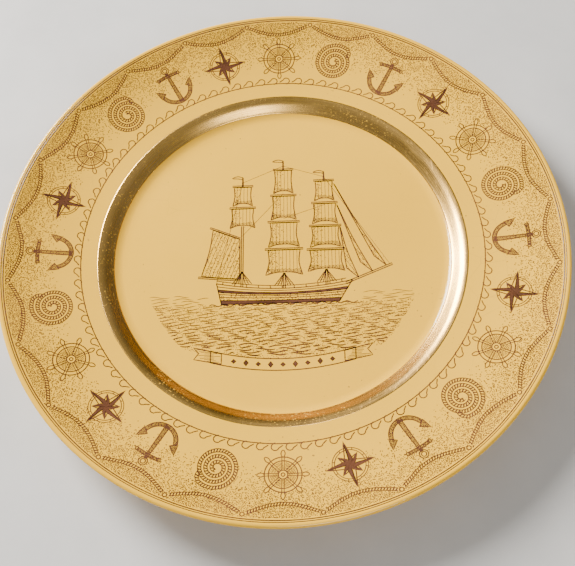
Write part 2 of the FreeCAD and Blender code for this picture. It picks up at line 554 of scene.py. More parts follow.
def dotted(piece, material, lift, sink):
    """Swaps every sized point of the piece for an ink dot and applies the result."""
    tree = dot_tree(material)
    modifier = piece.modifiers.new("Dots", "NODES")
    modifier.node_group = tree
    given = {"Lift": lift, "Sink": sink}
    for item in tree.interface.items_tree:
        if item.item_type == "SOCKET" and item.in_out == "INPUT" and item.name in given:
            modifier[item.identifier] = given[item.name]
    bpy.context.view_layer.update()
    depsgraph = bpy.context.evaluated_depsgraph_get()
    result = bpy.data.meshes.new_from_object(piece.evaluated_get(depsgraph))
    piece.modifiers.remove(modifier)
    raw = piece.data
    piece.data = result
    bpy.data.meshes.remove(raw)
    result.name = piece.name
    for name in ("dot_size", "dot_up"):
        if name in result.attributes:
            result.attributes.remove(result.attributes[name])
    return piece


def dot_tree(material):
    """Node tree that puts a small flat dot, pointed below, on every sized point."""
    if "Ink dots" in bpy.data.node_groups:
        return bpy.data.node_groups["Ink dots"]
    tree = bpy.data.node_groups.new("Ink dots", "GeometryNodeTree")
    face = tree.interface
    face.new_socket("Geometry", in_out="INPUT", socket_type="NodeSocketGeometry")
    for label, value in (("Lift", 0.00003), ("Sink", 0.00003)):
        socket = face.new_socket(label, in_out="INPUT", socket_type="NodeSocketFloat")
        socket.subtype = "DISTANCE"
        socket.default_value = value
    sides = face.new_socket("Sides", in_out="INPUT", socket_type="NodeSocketInt")
    sides.default_value = 6
    face.new_socket("Geometry", in_out="OUTPUT", socket_type="NodeSocketGeometry")
    node, link = tree.nodes.new, tree.links.new
    start = node("NodeGroupInput")
    end = node("NodeGroupOutput")
    size = node("GeometryNodeInputNamedAttribute")
    size.data_type = "FLOAT"
    size.inputs["Name"].default_value = "dot_size"
    up = node("GeometryNodeInputNamedAttribute")
    up.data_type = "FLOAT_VECTOR"
    up.inputs["Name"].default_value = "dot_up"
    is_dot = node("FunctionNodeCompare")
    is_dot.data_type = "FLOAT"
    is_dot.operation = "GREATER_THAN"
    link(size.outputs["Attribute"], is_dot.inputs["A"])
    split = node("GeometryNodeSeparateGeometry")
    split.domain = "POINT"
    link(start.outputs["Geometry"], split.inputs["Geometry"])
    link(is_dot.outputs["Result"], split.inputs["Selection"])
    depth = node("ShaderNodeMath")
    depth.operation = "ADD"
    link(start.outputs["Lift"], depth.inputs[0])
    link(start.outputs["Sink"], depth.inputs[1])
    cone = node("GeometryNodeMeshCone")
    cone.fill_type = "NGON"
    cone.inputs["Radius Top"].default_value = 1
    cone.inputs["Radius Bottom"].default_value = 0
    link(start.outputs["Sides"], cone.inputs["Vertices"])
    link(depth.outputs[0], cone.inputs["Depth"])
    below = node("ShaderNodeMath")
    below.operation = "MULTIPLY"
    below.inputs[1].default_value = -1
    link(start.outputs["Sink"], below.inputs[0])
    offset = node("ShaderNodeCombineXYZ")
    link(below.outputs[0], offset.inputs["Z"])
    lower = node("GeometryNodeTransform")
    link(cone.outputs["Mesh"], lower.inputs["Geometry"])
    link(offset.outputs[0], lower.inputs["Translation"])
    spread_out = node("ShaderNodeCombineXYZ")
    spread_out.inputs["Z"].default_value = 1
    link(size.outputs["Attribute"], spread_out.inputs["X"])
    link(size.outputs["Attribute"], spread_out.inputs["Y"])
    align = node("FunctionNodeAlignRotationToVector")
    align.axis = "Z"
    link(up.outputs["Attribute"], align.inputs["Vector"])
    place = node("GeometryNodeInstanceOnPoints")
    link(split.outputs["Selection"], place.inputs["Points"])
    link(lower.outputs["Geometry"], place.inputs["Instance"])
    link(align.outputs["Rotation"], place.inputs["Rotation"])
    link(spread_out.outputs[0], place.inputs["Scale"])
    join = node("GeometryNodeJoinGeometry")
    link(place.outputs["Instances"], join.inputs["Geometry"])
    link(split.outputs["Inverted"], join.inputs["Geometry"])
    realize = node("GeometryNodeRealizeInstances")
    link(join.outputs["Geometry"], realize.inputs["Geometry"])
    paint = node("GeometryNodeSetMaterial")
    paint.inputs["Material"].default_value = material
    link(realize.outputs["Geometry"], paint.inputs["Geometry"])
    link(paint.outputs["Geometry"], end.inputs["Geometry"])
    return tree


# ---------------------------------------------------------------- the rim print

SWAG_SPAN = 15                  # degrees between two studs, and between two motifs
FIRST_STUD = -7.5               # degrees from the wheel to the sector's first edge
PRINT_OUTER = 128.4             # where the stipple ends, just inside the border line
STUD_RADIUS = 127.2
SWAG_DROP = 5.3                 # how far a rope hangs below its studs
MOTIF_RADIUS = 109.0            # middle of the motifs
WAVE_RADIUS = 95.6              # line that the small waves stand on
WAVES = 16                      # small waves in one sector
STIPPLE_INNER = 104.0           # where the stipple has faded out
STIPPLE_FADE = 16.0             # how far it takes to fade


def leaning(lean, points):
    """Points turned clockwise by an angle in degrees."""
    turn = math.radians(lean)
    return [(u * math.cos(turn) + v * math.sin(turn), v * math.cos(turn) - u * math.sin(turn))
            for u, v in points]


def swag_radius(angle):
    """Radius of the rope at an angle from the wheel: even scallops between the studs."""
    share = (np.asarray(angle) - FIRST_STUD) % SWAG_SPAN / SWAG_SPAN
    return STUD_RADIUS - SWAG_DROP * np.sin(np.pi * share)


def draw_swags(ink):
    """Four rope swags, each hung between two studs."""
    for k in range(4):
        start = FIRST_STUD + SWAG_SPAN * k
        turns = spread(start + 0.6, start + SWAG_SPAN - 0.6, 17)
        ink.twist(rim(*[(a, float(swag_radius(a))) for a in turns]))
        stud = near(start, STUD_RADIUS, *round_line((0, 0), 0.9))
        ink.clear(stud)
        ink.line(stud, closed=True)


def draw_wheel(ink, angle):
    """A plain ship's wheel with eight turned handles."""
    spokes, hub, inner, outer, tip = 8, 2.0, 6.2, 7.9, 11.0
    for radius in (0.8, hub, inner, outer):
        ink.line(near(angle, MOTIF_RADIUS, *round_line((0, 0), radius)), closed=True)
    ink.clear(near(angle, MOTIF_RADIUS, *round_line((0, 0), outer)))
    swell = [(0.3 + 0.6 * math.sin(math.pi * s), outer + (tip - outer) * s) for s in spread(0, 1, 9)]
    handle = swell + [(-u, v) for u, v in swell[::-1]]
    gap = [(0.8, hub + 0.3), (0.9, inner - 0.4), (3.9, 4.2), (1.9, 1.3)]
    for k in range(spokes):
        lean = 360 * k / spokes
        for side in (-0.5, 0.5):
            ink.line(near(angle, MOTIF_RADIUS, *leaning(lean, [(side, hub), (side, inner)])), ink.fine)
            ink.line(near(angle, MOTIF_RADIUS, *leaning(lean, [(side, inner), (side, outer)])), ink.fine)
        grip = near(angle, MOTIF_RADIUS, *leaning(lean, handle))
        ink.clear(grip)
        ink.line(grip, ink.fine * 1.2, closed=True)
        ink.hatch(near(angle, MOTIF_RADIUS, *leaning(lean, gap)), lean + 20, 0.6, 0.26)


def draw_coil(ink, angle):
    """A rope coiled flat, with its end hanging free."""
    turns = spread(0, 6.2 * math.pi, 90)
    spiral = [((1.3 + 0.42 * t) * math.sin(t), (1.3 + 0.42 * t) * math.cos(t)) for t in turns]
    loose = [(spiral[-1][0] + 1.2, spiral[-1][1] - 2.5), (spiral[-1][0] + 0.4, spiral[-1][1] - 5)]
    ink.twist(near(angle, MOTIF_RADIUS, *(spiral + loose)), width=1.5)
    ink.clear(near(angle, MOTIF_RADIUS, *round_line((0, 0), 9.2)))


def draw_anchor(ink, angle):
    """An upright anchor, the same on both sides of its shank."""
    shank = [(-0.6, 7.6), (0.6, 7.6), (1.0, -9.4), (-1.0, -9.4)]
    stock = strip([(-5.2, 5.6), (0, 5.9), (5.2, 5.6)], 1.3)
    arms = strip(round_line((0, -1.6), 7.8, 106, 148), 1.7)
    for part in (shank, stock, arms):
        ink.shade(near(angle, MOTIF_RADIUS, *part))
        ink.clear(near(angle, MOTIF_RADIUS, *part))
    for side in (-1, 1):
        fluke = [(side * 9.6, 0.6), (side * 5.6, -2.2), (side * 8.6, -4.4)]
        ink.shade(near(angle, MOTIF_RADIUS, *fluke))
        ink.clear(near(angle, MOTIF_RADIUS, *fluke))
        ink.line(near(angle, MOTIF_RADIUS, *round_line((side * 5.4, 5.6), 0.8)), closed=True)
    for radius in (1.1, 1.9):
        ink.line(near(angle, MOTIF_RADIUS, *round_line((0, 9.1), radius)), closed=True)
    ink.clear(near(angle, MOTIF_RADIUS, *round_line((0, 9.1), 1.9)))


def draw_star(ink, angle):
    """A compass star with eight points, each half dark and half light."""
    for radius in (6.6, 7.6):
        ink.line(near(angle, MOTIF_RADIUS, *round_line((0, 0), radius)), ink.fine, closed=True)
    for k in range(1, 17, 2):
        tick = leaning(22.5 * k, [(0, 6.6), (0, 7.6)])
        ink.line(near(angle, MOTIF_RADIUS, *tick), ink.fine)
    for k in (1, 3, 5, 7, 0, 2, 4, 6):
        reach, waist = (10.8, 1.7) if k % 2 == 0 else (6.0, 1.3)
        for side in (-1, 1):
            half = leaning(45 * k, [(0, reach), (side * waist, 2.2), (0, 0)])
            place = near(angle, MOTIF_RADIUS, *half)
            ink.clear(place)
            ink.edge(place, closed=True)
            if side > 0:
                ink.fill(place)
    ink.clear(near(angle, MOTIF_RADIUS, *round_line((0, 0), 7.6)))


def draw_waves(ink):
    """A row of small curling waves along the inner edge of the border."""
    step = 4 * SWAG_SPAN / WAVES
    for k in range(WAVES):
        start = FIRST_STUD + step * (k + 0.5)
        curl = [(1.9 * math.cos(t) * (1 - t / 9), 1.7 * math.sin(t) * (1 - t / 9) + 1.1)
                for t in spread(math.pi, -1.5, 14)]
        ink.curve(near(start, WAVE_RADIUS, (-3.1, 0.1), *curl[1:]), ink.fine * 1.3)
    ink.line(rim(*[(a, WAVE_RADIUS - 0.6) for a in spread(FIRST_STUD, FIRST_STUD + 4 * SWAG_SPAN, 61)]))


def draw_background(ink):
    """Stipple behind the motifs, thick above the ropes and fading towards the middle."""
    def tone(p):
        radius = np.hypot(p[:, 0], p[:, 1])
        angle = np.degrees(np.arctan2(p[:, 0], p[:, 1]))
        fade = np.clip((radius - STIPPLE_INNER) / STIPPLE_FADE, 0, 1)
        return np.where(radius > swag_radius(angle), 0.93, 0.62 * fade)

    turns = spread(FIRST_STUD, FIRST_STUD + 4 * SWAG_SPAN, 61)
    edge = [(a, PRINT_OUTER) for a in turns] + [(a, STIPPLE_INNER) for a in turns[::-1]]
    ink.stipple(rim(*edge), tone)


def rim_sector(name, material):
    """One repeat of the rim print: wheel, rope coil, anchor and compass star."""
    ink = Ink(style().seed)
    draw_swags(ink)
    for k, draw in enumerate((draw_wheel, draw_coil, draw_anchor, draw_star)):
        draw(ink, SWAG_SPAN * k)
    draw_waves(ink)
    draw_background(ink)
    return ink.piece(name, material)


# ---------------------------------------------------------------- the print in the well

WATERLINE = -26.0               # where the hull meets the sea
STERN, BOW = -31.0, 33.0        # ends of the rail
SEA_RADIUS = 66.0               # round edge of the picture
# Place and top of each mast, stern first, and how many square sails are left out at its foot.
MASTS = ((-19.0, 43.0, 2), (1.0, 52.0, 0), (21.0, 45.0, 0))
SAILS = 4                       # heights for square sails on a mast
RIBBON_HALF = 33.0              # half the length of the ribbon's face
RIBBON_REACH = 2.8              # half its width
RIBBON_MIDDLE = -56.5
RIBBON_BEND = 0.0042            # how fast the ribbon rises towards its ends


def sheer(x):
    """Height of the rail, lowest amidships."""
    return -18.5 + 3.4 * ((x - 1) / 32) ** 2


def hull_line(share):
    """A line along the hull between the rail, at 0, and the water, at 1."""
    first, last = STERN + 2.5 * share, BOW - 6.5 * share
    return [(x, sheer(x) * (1 - share) + WATERLINE * share) for x in spread(first, last, 34)]


def draw_hull(ink):
    """A plain planked hull with a dark wale and a boot line."""
    ends = [hull_line(share) for share in (0, 1)]
    ink.line(ends[0])
    ink.line([ends[0][0], ends[1][0]])
    ink.curve([ends[0][-1], (30.4, -19.5), ends[1][-1]])
    for share in (0.14, 0.5, 0.64):
        ink.line(hull_line(share), ink.fine)
    for low, high in ((0.28, 0.4), (0.8, 1.0)):
        ink.fill(hull_line(low) + hull_line(high)[::-1])
    ink.stipple(hull_line(0.4) + hull_line(0.8)[::-1], 0.35, keep_clear=False)
    sprit = strip([(BOW - 3, -16.6), (52, -7.4)], 0.9)
    ink.edge(sprit, closed=True)
    for k in range(11):
        x = -28 + 5.6 * k
        ink.line([(x, sheer(x)), (x, sheer(x) + 1.5)], ink.fine)
    ink.line([(x, sheer(x) + 1.5) for x in spread(STERN, BOW - 3, 34)], ink.fine)


def draw_square_sail(ink, mast, low, high, width):
    """A square sail full of wind, with its yard, seams and a shaded foot."""
    top = [(mast - width * 0.44, high), (mast + width * 0.44, high)]
    foot = [(mast + width / 2, low), (mast + width * 0.2, low + 1.4), (mast - width * 0.2, low + 1.4),
            (mast - width / 2, low)]
    right = (mast + width * 0.41, (low + high) / 2)
    left = (mast - width * 0.41, (low + high) / 2)
    outline = np.vstack([plan(top), smooth([top[1], right, foot[0]]), smooth(foot),
                         smooth([foot[-1], left, top[0]])])
    ink.clear(outline)
    ink.edge(outline, closed=True)
    ink.hatch(outline, 90, 1.7, 0.2)
    fold = [(mast - width * 0.45, low + 3.4), (mast + width * 0.45, low + 3.4)]
    shadow = np.vstack([smooth(foot), plan(fold)])
    ink.hatch(shadow, 20, 0.6, 0.24, shorten=0.3)
    ink.stipple(outline, lambda p: np.clip((mast - p[:, 0]) / width, 0, 0.5), keep_clear=False)
    yard = strip([(mast - width * 0.52, high + 0.5), (mast + width * 0.52, high + 0.5)], 0.8)
    ink.edge(yard, closed=True)


def draw_mast(ink, mast, top, lowest):
    """A mast with its square sails from the lowest up, its shrouds and a plain pennant."""
    deck = sheer(mast)
    pitch = (top - 4 - (deck + 7)) / SAILS
    for k in range(lowest, SAILS):
        low = deck + 7 + pitch * k
        draw_square_sail(ink, mast, low, low + pitch - 1.6, 17.4 - 2.6 * k)
    for side in (-0.45, 0.45):
        ink.edge([(mast + side, deck), (mast + side, deck + 8 + pitch * lowest)])
        ink.line([(mast + side * 0.6, top - 5.6), (mast + side * 0.3, top)], ink.fine)
    for side in (-1, 1):
        legs = [(mast + side * (1.6 + 1.5 * k), deck + 1.5) for k in range(3)]
        for leg in legs:
            ink.line([leg, (mast, deck + 8)], ink.fine)
        for share in spread(0.15, 0.85, 6):
            rung = [(x + (mast - x) * share, y + (deck + 8 - y) * share) for x, y in (legs[0], legs[-1])]
            ink.line(rung, 0.2)
    pennant = [(mast, top), (mast - 2.6, top + 0.7), (mast - 5.2, top - 0.3), (mast - 2.4, top - 0.6),
               (mast, top - 1)]
    ink.curve(pennant, ink.fine)


def draw_stay_sails(ink):
    """Three jibs on the bowsprit and a gaff sail behind the last mast."""
    fore = MASTS[-1][0]
    for k in range(3):
        tack = (36 + 6.6 * k, -14 + 3.0 * k)
        head = (fore + 7 - 1.1 * k, 14 + 12 * k)
        clew = (tack[0] - 5.5, tack[1] + 5)
        jib = np.vstack([smooth([tack, ((tack[0] + head[0]) / 2 - 0.8, (tack[1] + head[1]) / 2), head]),
                         smooth([head, ((head[0] + clew[0]) / 2, (head[1] + clew[1]) / 2), clew])])
        ink.edge(jib, closed=True)
        ink.hatch(jib, -58, 1.5, 0.2)
        ink.stipple(jib, 0.22, keep_clear=False)
    aft = MASTS[0][0] - 1.2
    gaff = np.vstack([smooth([(aft, -13), (aft - 9, -12.2), (aft - 18, -11)]),
                      smooth([(aft - 18, -11), (aft - 14.6, 2), (aft - 13, 13.8)]), plan([(aft, 8.2)])])
    ink.edge(gaff, closed=True)
    ink.hatch(gaff, 70, 1.7, 0.2)
    ink.stipple(gaff, 0.25, keep_clear=False)
    ink.edge(strip([(aft, 8.8), (aft - 14.5, 15)], 0.7), closed=True)
    ink.edge(strip([(aft, -13.6), (aft - 19.5, -11.6)], 0.8), closed=True)


def draw_stays(ink):
    """Ropes from mast to mast and down to the ends of the ship."""
    tops = [(x, y - 3) for x, y, lowest in MASTS]
    for behind, ahead in zip(tops, tops[1:]):
        ink.line(straight([behind, ahead]), 0.2)
        ink.line(straight([(ahead[0], ahead[1] - 16), (behind[0], behind[1] - 30)]), 0.2)
    ink.line(straight([tops[-1], (51, -7.6)]), 0.2)
    ink.line(straight([tops[0], (STERN, sheer(STERN))]), 0.2)


def draw_ship(ink):
    """A plain three-masted ship seen from the side, sailing to the right."""
    ink.fine *= 1.15
    draw_stays(ink)
    draw_stay_sails(ink)
    for mast, top, lowest in MASTS:
        draw_mast(ink, mast, top, lowest)
    draw_hull(ink)


def ribbon_edge(drop):
    """A line along the ribbon's face, below its middle line by the drop."""
    return [(x, RIBBON_MIDDLE + RIBBON_BEND * x ** 2 - drop) for x in spread(-RIBBON_HALF, RIBBON_HALF, 45)]


def ribbon_tail(side):
    """The swallow-tailed end of the ribbon on one side."""
    start = RIBBON_HALF - 5
    return [(side * start, -50.6), (side * (start + 13), -47.2), (side * (start + 10.4), -50.0),
            (side * (start + 12.6), -53.0), (side * start, -55.6)]


def draw_sea(ink):
    """Rows of broken swells, heavier towards the viewer, with dots between them."""
    face = ribbon_edge(-RIBBON_REACH) + ribbon_edge(RIBBON_REACH)[::-1]
    kept = [plan(outline) for outline in (face, ribbon_tail(-1), ribbon_tail(1))]
    ink.clear(*kept)
    for row in np.arange(WATERLINE + 4.5, -52, -1.3):
        half = math.sqrt(SEA_RADIUS ** 2 - row ** 2)
        x = -half
        while x < half:
            run = 3 + 8 * ink.random.random()
            beside_hull = row > WATERLINE - 0.5 and STERN - 2 < x + run and x < BOW + 1
            swell = plan([(u, row + 0.45 * math.sin(0.55 * u + row))
                          for u in np.arange(x, min(x + run, half), 0.8)])
            hidden = any(inside(swell, outline).any() for outline in kept)
            if not beside_hull and not hidden:
                ink.line(swell, 0.24 + 0.013 * (WATERLINE + 6 - row), taper=True)
            x += run + 0.8 + 2 * ink.random.random()
    spray = [(x, WATERLINE - 0.4 + 0.5 * math.sin(1.1 * x)) for x in spread(STERN - 3, BOW + 2, 90)]
    ink.line(spray)
    low = [(SEA_RADIUS * math.sin(math.radians(a)), SEA_RADIUS * math.cos(math.radians(a)))
           for a in spread(113, 247, 60)]

    def tone(p):
        above_ribbon = p[:, 1] > RIBBON_MIDDLE + RIBBON_BEND * p[:, 0] ** 2
        return np.where(above_ribbon, 0.45 + 0.3 * np.sin(1.6 * p[:, 1] + 0.2 * p[:, 0]), 0)

    ink.stipple(low + spray, tone, gap=0.7, size=0.4)


def draw_ribbon(ink):
    """A plain ribbon under the sea with swallow tails and a row of small lozenges."""
    top, bottom = ribbon_edge(-RIBBON_REACH), ribbon_edge(RIBBON_REACH)
    for line in (top, bottom, [top[0], bottom[0]], [top[-1], bottom[-1]]):
        ink.line(line)
    for side in (-1, 1):
        tail = ribbon_tail(side)
        ink.edge(tail, closed=True)
        ink.hatch(tail, 0, 0.7, 0.22, shorten=0.35)
    for k in range(-4, 5):
        x = 5.6 * k
        y = RIBBON_MIDDLE + RIBBON_BEND * x ** 2
        tall = 1.5 if k % 2 else 1.0
        ink.fill([(x, y + tall), (x + 1.1, y), (x, y - tall), (x - 1.1, y)])


def well_print(name, painter, material, seed):
    ink = Ink(seed)
    painter(ink)
    return ink.piece(name, material)


# ---------------------------------------------------------------- finishes

class Finish:
    """A node material with short helpers."""

    def __init__(self, name):
        self.material = bpy.data.materials.new(name)
        self.material.use_nodes = True
        self.tree = self.material.node_tree
        self.shader = next(n for n in self.tree.nodes if n.type == "BSDF_PRINCIPLED")
        self.place = self.node("ShaderNodeTexCoord").outputs["Object"]

    def node(self, kind, **inputs):
        node = self.tree.nodes.new(kind)
        for label, value in inputs.items():
            self.feed(node.inputs[label.replace("_", " ")], value)
        return node

    def feed(self, socket, value):
        """Links a socket to another one, or sets its plain value."""
        if isinstance(value, bpy.types.NodeSocket):
            self.tree.links.new(value, socket)
        else:
            socket.default_value = value

    def set(self, **inputs):
        for label, value in inputs.items():
            self.feed(self.shader.inputs[label.replace("_", " ")], value)

    def noise(self, scale, detail=3.0, roughness=0.5, where=None):
        node = self.node("ShaderNodeTexNoise", Scale=scale, Detail=detail, Roughness=roughness)
        self.tree.links.new(where or self.place, node.inputs["Vector"])
        return node.outputs["Fac"]

    def stretched(self, turn=0.0, scale=(1, 1, 1)):
        node = self.node("ShaderNodeMapping", Rotation=(0, 0, turn), Scale=scale)
        self.tree.links.new(self.place, node.inputs["Vector"])
        return node.outputs[0]

    def remap(self, value, low, high, new_low=0.0, new_high=1.0):
        node = self.node("ShaderNodeMapRange", Value=value, From_Min=low, From_Max=high)
        node.inputs["To Min"].default_value = new_low
        node.inputs["To Max"].default_value = new_high
        return node.outputs[0]

    def mix(self, share, first, second):
        """Two colours mixed; the colour sockets of this node are numbered 6 and 7."""
        node = self.tree.nodes.new("ShaderNodeMix")
        node.data_type = "RGBA"
        for place, value in ((0, share), (6, first), (7, second)):
            self.feed(node.inputs[place], value)
        return node.outputs[2]

    def math(self, operation, first, second=0.0):
        node = self.tree.nodes.new("ShaderNodeMath")
        node.operation = operation
        for place, value in enumerate((first, second)):
            self.feed(node.inputs[place], value)
        return node.outputs[0]

    def bump(self, height, strength, distance):
        node = self.node("ShaderNodeBump", Height=height, Strength=strength, Distance=distance)
        self.tree.links.new(node.outputs[0], self.shader.inputs["Normal"])


def tinted(colour, scale, warmth=1.0):
    """A colour made lighter or darker, with a touch more or less yellow."""
    return (min(1, colour[0] * scale), min(1, colour[1] * scale), min(1, colour[2] * scale * warmth), 1)


def glaze_finish():
    """Warm cream glaze: faint clouds of tone, a few pinholes and hairlines, and a high gloss."""
    if "Cream glaze" in bpy.data.materials:
        return bpy.data.materials["Cream glaze"]
    f = Finish("Cream glaze")
    base = tuple(finish().glaze)
    clouds = f.remap(f.noise(11.0, 4.0), 0.35, 0.68)
    colour = f.mix(clouds, tinted(base, 0.955, 0.92), tinted(base, 1.03, 1.05))
    fine = f.remap(f.noise(420.0, 2.0), 0.3, 0.7)
    colour = f.mix(f.math("MULTIPLY", fine, 0.10), colour, tinted(base, 0.86, 0.85))
    specks = f.remap(f.noise(700.0, 0.0), 0.80, 0.84)
    patches = f.remap(f.noise(38.0, 1.0), 0.52, 0.66)
    share = f.math("MULTIPLY", f.math("MULTIPLY", specks, patches), 0.75)
    colour = f.mix(share, colour, (0.20, 0.10, 0.04, 1))
    crackle = f.node("ShaderNodeTexVoronoi", Scale=70.0)
    crackle.feature = "DISTANCE_TO_EDGE"
    f.tree.links.new(f.place, crackle.inputs["Vector"])
    crack = f.remap(crackle.outputs["Distance"], 0.0, 0.012, 1.0, 0.0)
    where = f.remap(f.noise(16.0, 2.0), 0.6, 0.7)
    colour = f.mix(f.math("MULTIPLY", f.math("MULTIPLY", crack, where), 0.22), colour, (0.30, 0.17, 0.07, 1))
    f.set(Base_Color=colour, Roughness=f.remap(f.noise(90.0, 3.0), 0.3, 0.7, 0.10, 0.19), IOR=1.5)
    f.bump(f.noise(130.0, 2.0), 0.10, 0.0004)
    return f.material


def ink_finish():
    """Sepia print under a thin gloss, paler where the transfer took less well."""
    if "Sepia print" in bpy.data.materials:
        return bpy.data.materials["Sepia print"]
    f = Finish("Sepia print")
    base = tuple(finish().ink)
    worn = f.remap(f.noise(34.0, 3.0), 0.38, 0.68)
    colour = f.mix(worn, tinted(base, 0.80), tinted(base, 1.40, 1.2))
    grain = f.remap(f.noise(2600.0, 2.0), 0.52, 0.70)
    colour = f.mix(f.math("MULTIPLY", grain, 0.45), colour, tinted(base, 2.3, 1.4))
    f.set(Base_Color=colour, Roughness=f.remap(f.noise(300.0, 2.0), 0.3, 0.7, 0.16, 0.30), IOR=1.5,
          Specular_IOR_Level=0.25)
    return f.material


def gold_finish():
    """Burnished gold, rubbed with fine scratches that run round the band and thin in places."""
    if "Burnished gold" in bpy.data.materials:
        return bpy.data.materials["Burnished gold"]
    f = Finish("Burnished gold")
    base = tuple(finish().gold)
    split = f.node("ShaderNodeSeparateXYZ")
    f.tree.links.new(f.place, split.inputs[0])
    x, y = split.outputs[0], split.outputs[1]
    radius = f.math("SQRT", f.math("ADD", f.math("MULTIPLY", x, x), f.math("MULTIPLY", y, y)))
    polar = f.node("ShaderNodeCombineXYZ")
    f.tree.links.new(f.math("MULTIPLY", radius, 2600.0), polar.inputs[0])
    f.tree.links.new(f.math("MULTIPLY", f.math("ARCTAN2", y, x), 5.0), polar.inputs[1])
    brushed = f.noise(1.0, 4.0, 0.7, polar.outputs[0])
    scratches = f.noise(900.0, 2.0, 0.8, f.stretched(0.6, (1.0, 0.03, 1.0)))
    tone = f.remap(f.noise(24.0, 3.0), 0.3, 0.7)
    colour = f.mix(tone, tinted(base, 0.70, 0.8), tinted(base, 1.12, 1.1))
    colour = f.mix(f.remap(brushed, 0.42, 0.62, 0.0, 0.35), colour, tinted(base, 0.62, 0.6))
    pits = f.remap(f.noise(1100.0, 2.0), 0.62, 0.68)
    bare = f.math("MULTIPLY", pits, f.remap(f.noise(45.0, 2.0), 0.45, 0.6))
    colour = f.mix(f.math("MULTIPLY", bare, 0.8), colour, tuple(finish().glaze))
    metal = f.math("SUBTRACT", 1.0, f.math("MULTIPLY", bare, 0.8))
    rough = f.math("ADD", f.remap(brushed, 0.3, 0.7, 0.18, 0.34), f.remap(scratches, 0.6, 0.75, 0.0, 0.12))
    f.set(Base_Color=colour, Metallic=metal, Roughness=rough)
    f.bump(f.math("ADD", brushed, f.math("MULTIPLY", scratches, 0.5)), 0.12, 0.00006)
    return f.material


def clay_finish():
    """Bare fired clay on the foot ring: dry, fine grained, a little grey where it has rubbed."""
    if "Bare clay" in bpy.data.materials:
        return bpy.data.materials["Bare clay"]
    f = Finish("Bare clay")
    base = tuple(finish().clay)
    grain = f.noise(1800.0, 4.0)
    colour = f.mix(f.remap(f.noise(60.0, 3.0), 0.35, 0.65), tinted(base, 0.86), tinted(base, 1.05))
    colour = f.mix(f.remap(grain, 0.6, 0.75, 0.0, 0.6), colour, (0.36, 0.30, 0.24, 1))
    f.set(Base_Color=colour, Roughness=f.remap(grain, 0.3, 0.7, 0.72, 0.92))
    f.bump(grain, 0.5, 0.00012)
    return f.material


def floor_finish():
    """Pale plaster floor with a faint mottle."""
    f = Finish("Pale floor")
    mottle = f.remap(f.noise(9.0, 6.0, 0.65), 0.3, 0.7)
    colour = f.mix(mottle, (0.50, 0.495, 0.48, 1), (0.60, 0.59, 0.57, 1))
    f.set(Base_Color=colour, Roughness=f.remap(f.noise(40.0, 4.0), 0.3, 0.7, 0.6, 0.75))
    f.bump(f.noise(120.0, 6.0, 0.7), 0.15, 0.0005)
    return f.material


# ---------------------------------------------------------------- pieces

def band(name, node, lift, sink, wobble, step=0.5, seed=3):
    """A painted band that lies on the face round the plate, as wide as its CAD node."""
    section = Section()
    outer_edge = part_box(node)[1][0] / MM
    inner_edge = BAND_INNER[node] / MM
    steps = shape().turning_steps
    rows = max(2, math.ceil((outer_edge - inner_edge) / step)) + 1
    turns = np.arange(steps) * 2 * math.pi / steps
    random = np.random.default_rng(seed)

    def waver():
        """A small closed wander of an edge, as from a brush on a turning wheel."""
        waves = sum(random.normal() * np.sin(k * turns + random.random() * 7) / math.sqrt(k)
                    for k in (2, 3, 5, 9, 14, 23, 37))
        return np.abs(waves) * wobble

    inner = inner_edge + waver()
    outer = outer_edge - waver()
    share = np.linspace(0, 1, rows)[:, None]
    radius = inner * (1 - share) + outer * share
    x, y, z = radius * np.cos(turns), radius * np.sin(turns), section.height(radius)
    top = np.stack([x, y, z + lift], axis=2)
    bottom = np.stack([x, y, z - sink], axis=2)
    places = np.vstack([top.reshape(-1, 3), bottom.reshape(-1, 3)]) * MM
    faces = []
    under = rows * steps
    for k in range(steps):
        n = (k + 1) % steps
        for r in range(rows - 1):
            a, b, c, d = r * steps + k, (r + 1) * steps + k, (r + 1) * steps + n, r * steps + n
            faces += [(a, b, c, d), (under + d, under + c, under + b, under + a)]
        last = (rows - 1) * steps
        faces += [(k, n, under + n, under + k),
                  (last + n, last + k, under + last + k, under + last + n)]
    data = bpy.data.meshes.new(name)
    data.from_pydata(places.tolist(), [], faces)
    data.polygons.foreach_set("use_smooth", [True] * len(data.polygons))
    piece = bpy.data.objects.new(name, data)
    bpy.context.scene.collection.objects.link(piece)
    return piece


BAND_INNER = {"gold_band": 79.9 * MM, "border_line": 128.9 * MM, "lip_line": 129.85 * MM}


def coat_loops():
    """Section loops of the face glaze, the glaze inside the foot and the clay between them."""
    section = Section()
    s = shape()
    depth = s.glaze_thickness / MM
    wiped = s.wiped_height / MM
    face, back = section.face(), section.back()
    lowest = next(i for i, p in enumerate(back) if p.y < wiped)
    outer_back = back[:lowest]
    rest = back[lowest:]
    rising = next(i for i, p in enumerate(rest) if p.y > wiped and p.x < s.foot_outer / MM - 2)
    inner_back = rest[rising:]
    outside = face + outer_back
    coat = outside + offset_inward(outside, depth)[::-1]
    patch = inner_back + offset_inward(inner_back, depth)[::-1]
    clay = offset_inward(outside, depth) + rest[:rising] + offset_inward(inner_back, depth)
    return coat, patch, clay


class PLATE_OT_clay(bpy.types.Operator):
    """Turns the clay body, bare only on the foot ring"""
    bl_idname = "plate.clay"
    bl_label = "Clay body"

    def execute(self, context):
        body = turned("plate_clay", coat_loops()[2])
        settle(body, clay_finish(), "clay", "plate_body")
        return {"FINISHED"}


class PLATE_OT_glaze(bpy.types.Operator):
    """Coats the face, the back and the inside of the foot with glaze"""
    bl_idname = "plate.glaze"
    bl_label = "Glaze"

    def execute(self, context):
        coat, patch, clay = coat_loops()
        settle(turned("glaze_coat", coat), glaze_finish(), "glaze", "face_glaze")
        settle(turned("glaze_under_foot", patch), glaze_finish(), "glaze", "foot_glaze")
        return {"FINISHED"}


